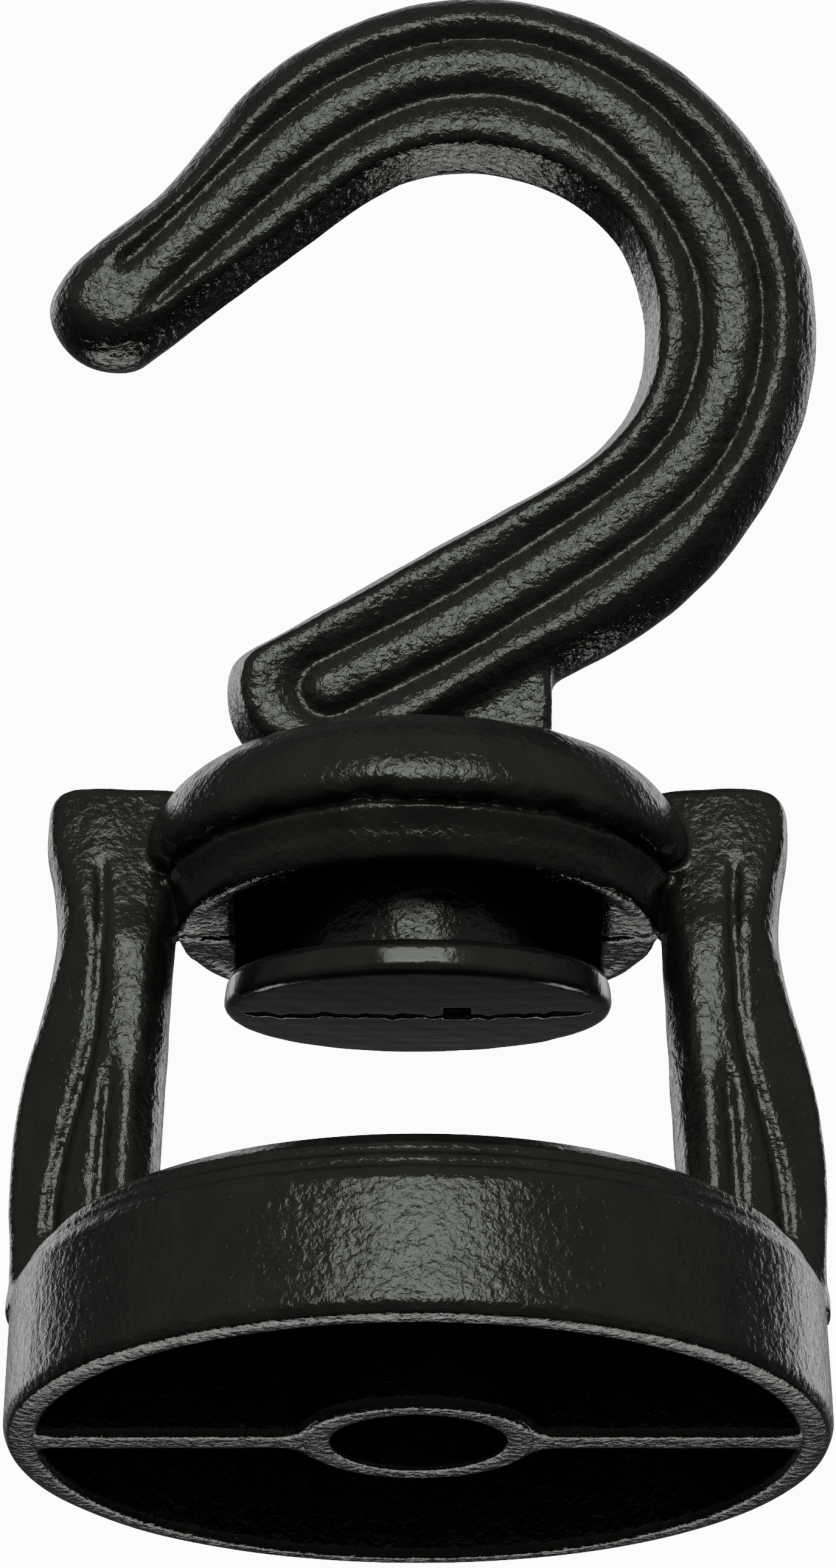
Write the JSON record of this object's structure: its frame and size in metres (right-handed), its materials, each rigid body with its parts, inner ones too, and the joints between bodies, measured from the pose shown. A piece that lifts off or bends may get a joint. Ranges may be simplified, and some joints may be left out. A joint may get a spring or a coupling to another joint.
{
  "type": "swivel ceiling hook",
  "caption": "Cast swivel ceiling hook: round ceiling cup with a screw hub, two-armed yoke, and a reeded open hook that turns in the yoke's collar.",
  "frame": {"origin": "centre of the cup's open rim, in the plane of the rim", "axes": "+Z from the rim towards the hook, along the cup's axis; the hook's flat face looks along -Y and its tip points to -X"},
  "size_m": [0.044, 0.044, 0.0809],
  "materials": {
    "yoke_enamel": "gloss black enamel over a fine cast surface",
    "hook_enamel": "gloss black enamel over a fine cast surface"
  },
  "bodies": {
    "yoke": {"ceiling_cup": "yoke_enamel", "screw_hub": "yoke_enamel", "cup_webs": "yoke_enamel", "left_arm": "yoke_enamel", "right_arm": "yoke_enamel", "swivel_collar": "yoke_enamel", "collar_webs": "yoke_enamel"},
    "stem": {"swivel_stem": "hook_enamel", "retaining_cap": "hook_enamel"},
    "hook": {"hook": "hook_enamel"}
  },
  "joints": [
    {"name": "hook_rock", "type": "hinge", "parent": "yoke", "child": "stem", "pos_m": [0, 0, 0.033], "axis": [1, 0, 0], "range_deg": [-15, 0]},
    {"name": "hook_swivel", "type": "hinge", "parent": "stem", "child": "hook", "pos_m": [0, 0, 0.033], "axis": [0, -0.1305, 0.9914], "continuous": true}
  ]
}
